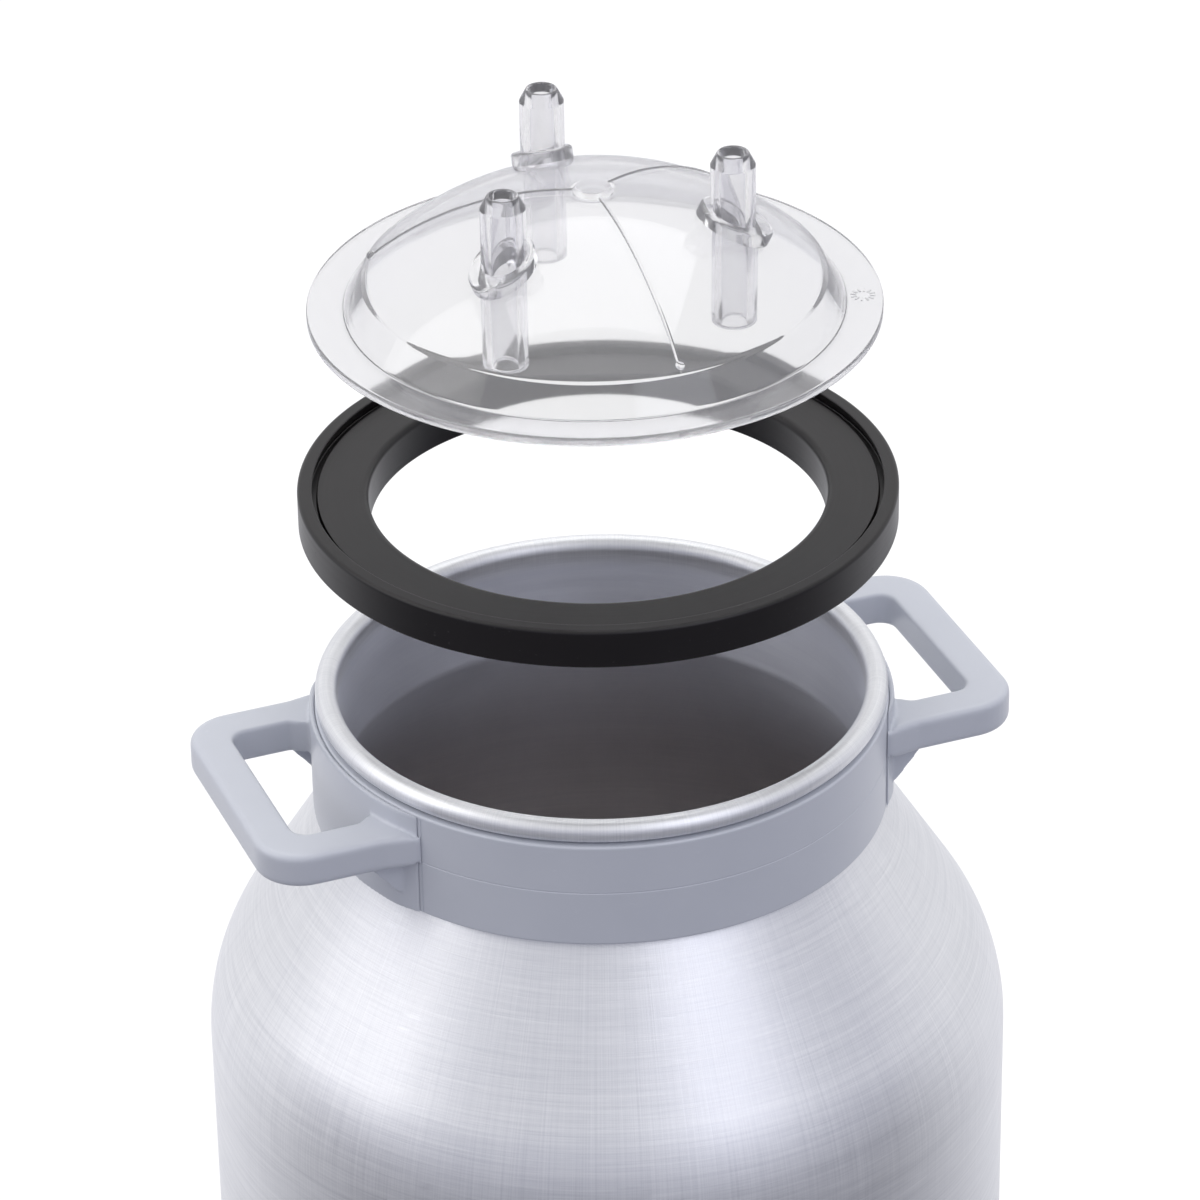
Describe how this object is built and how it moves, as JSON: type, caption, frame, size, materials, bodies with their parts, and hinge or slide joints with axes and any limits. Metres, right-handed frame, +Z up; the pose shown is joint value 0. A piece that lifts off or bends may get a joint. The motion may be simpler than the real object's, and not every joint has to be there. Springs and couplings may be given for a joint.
{
  "type": "milking machine bucket",
  "caption": "Milking bucket of spun aluminium with a loop-handled neck collar, rubber gasket and clear domed lid with hose tubes, lifted apart.",
  "frame": {"origin": "on the can's axis at the floor, under the centre of the base ring", "axes": "+Z up along the can's axis, the two handles along +X and -X, one lid tube towards +Y"},
  "size_m": [0.2908, 0.2908, 0.6483],
  "materials": {
    "spun_aluminium": "satin, with fine turning marks round the axis and cross brushing on the shoulder",
    "grey_plastic": "satin moulded plastic, blue-grey",
    "black_rubber": "smooth moulded rubber with a slight sheen",
    "clear_plastic": "clear polished plastic"
  },
  "bodies": {
    "can": {"can_shell": "spun_aluminium", "base_ring": "grey_plastic", "neck_collar": "grey_plastic", "handle_right": "grey_plastic", "handle_left": "grey_plastic"},
    "gasket": {"gasket": "black_rubber"},
    "lid": {"lid_dome": "clear_plastic", "lid_tube_1": "clear_plastic", "lid_tube_2": "clear_plastic", "lid_tube_3": "clear_plastic"}
  },
  "joints": [
    {"name": "gasket_lift", "type": "slide", "parent": "can", "child": "gasket", "axis": [0, 0, 1], "range_m": [-0.068, 0]},
    {"name": "lid_lift", "type": "slide", "parent": "gasket", "child": "lid", "axis": [0, 0, 1], "range_m": [-0.0695, 0]}
  ]
}
